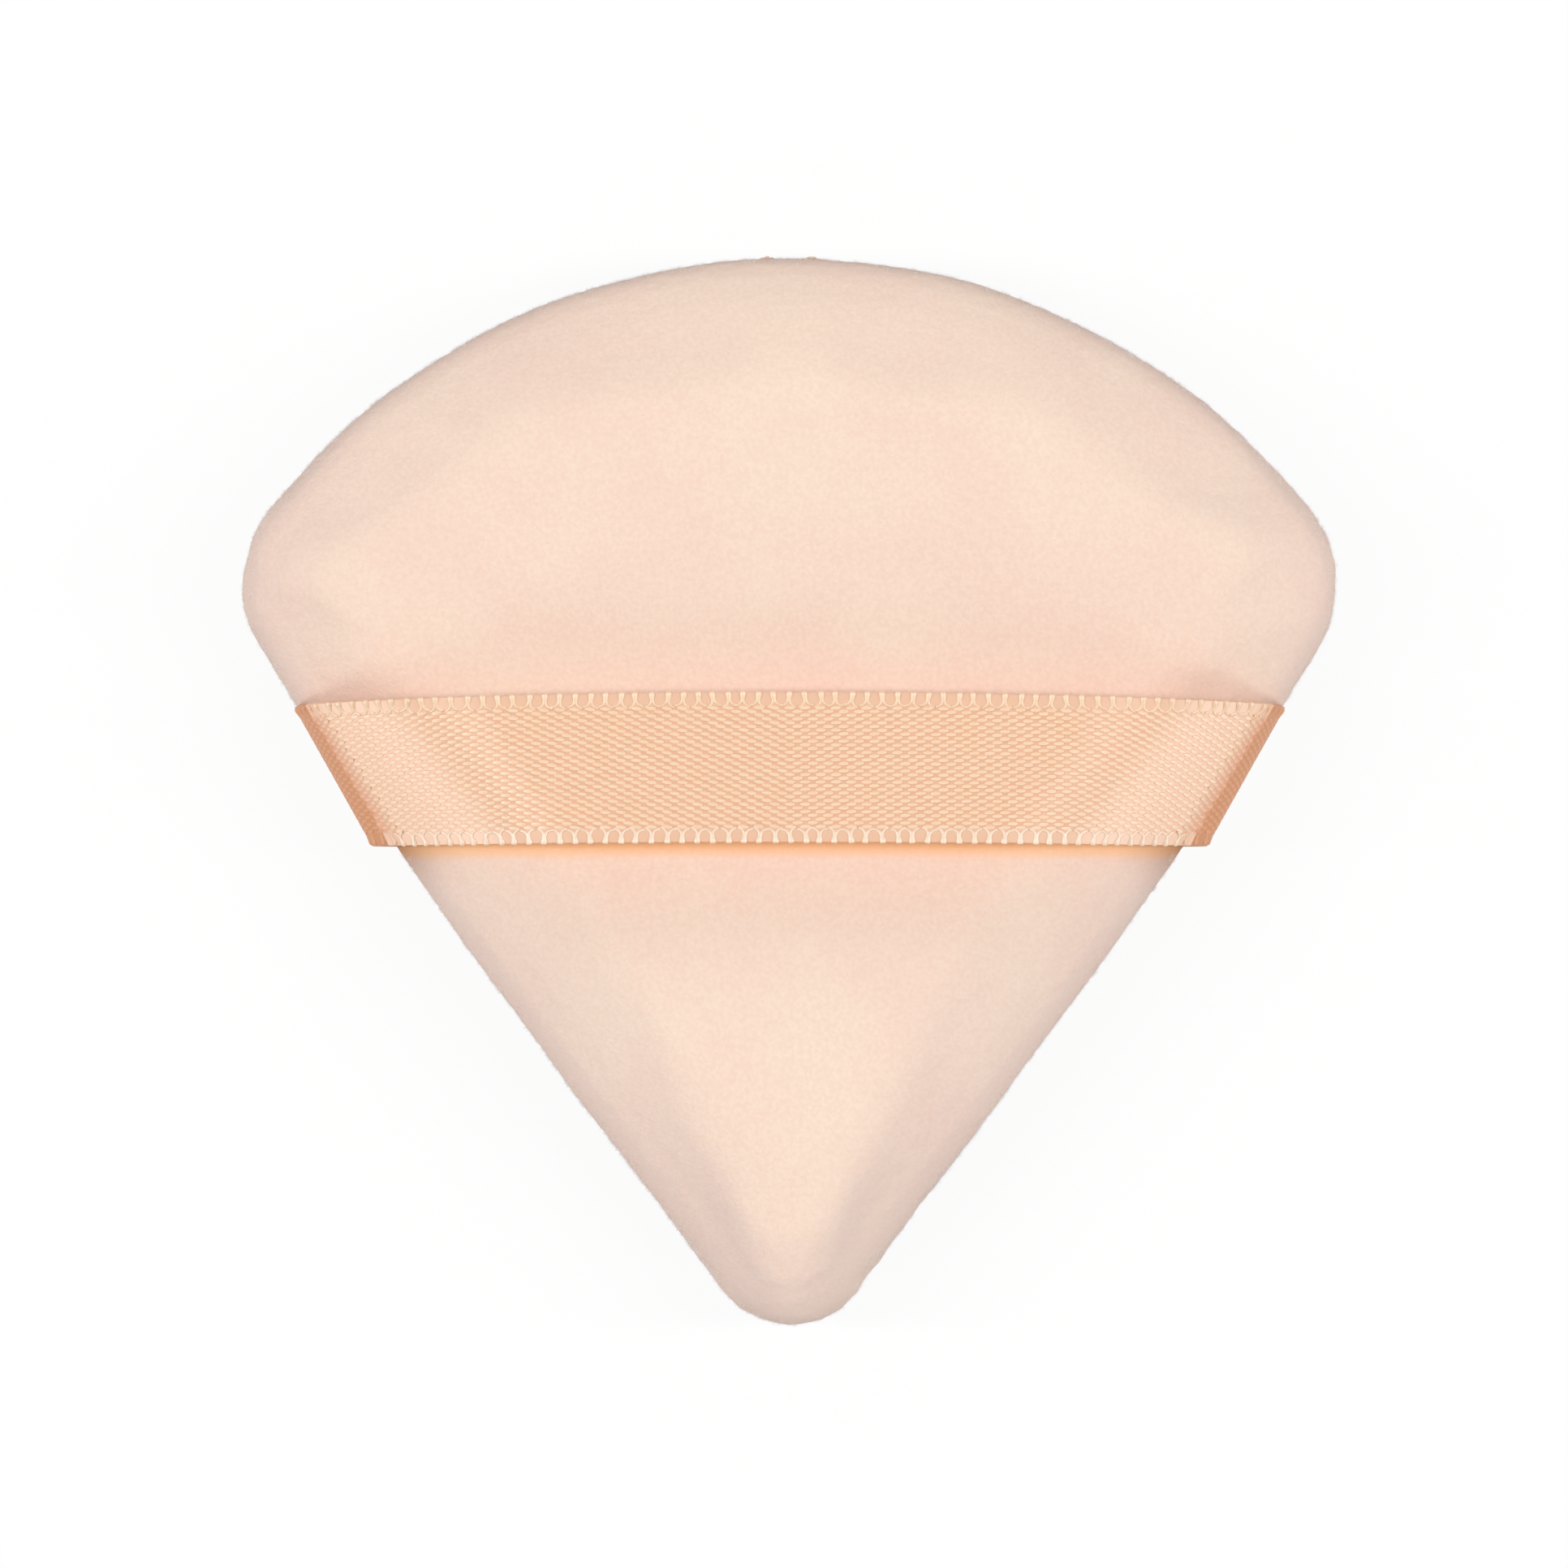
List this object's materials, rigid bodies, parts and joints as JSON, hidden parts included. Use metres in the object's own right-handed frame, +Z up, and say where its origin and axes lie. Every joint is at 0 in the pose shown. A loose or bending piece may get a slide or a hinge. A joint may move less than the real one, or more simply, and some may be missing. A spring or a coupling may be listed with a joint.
{
  "type": "powder puff",
  "caption": "Fan-shaped velour powder puff, soft and padded, with rounded corners and a satin finger ribbon arched across its back.",
  "frame": {"origin": "on the surface that the puff lies on, under the middle of its outline", "axes": "+Z up from the powder face through the back, +Y towards the round end of the fan, +X along the ribbon"},
  "size_m": [0.0742, 0.072, 0.0189],
  "materials": {
    "velour": "short dense velour pile, pale peach, matt",
    "foam": "soft open-cell foam, off-white",
    "satin_ribbon": "single-faced woven satin, peach, soft gloss",
    "thread": "spun sewing thread, pale peach"
  },
  "bodies": {
    "root": {"back_cover": "velour", "powder_cover": "velour", "foam_core": "foam", "ribbon_band": "satin_ribbon", "seam_needle_thread": "thread", "seam_bobbin_thread": "thread", "closing_stitch": "thread"}
  },
  "joints": []
}
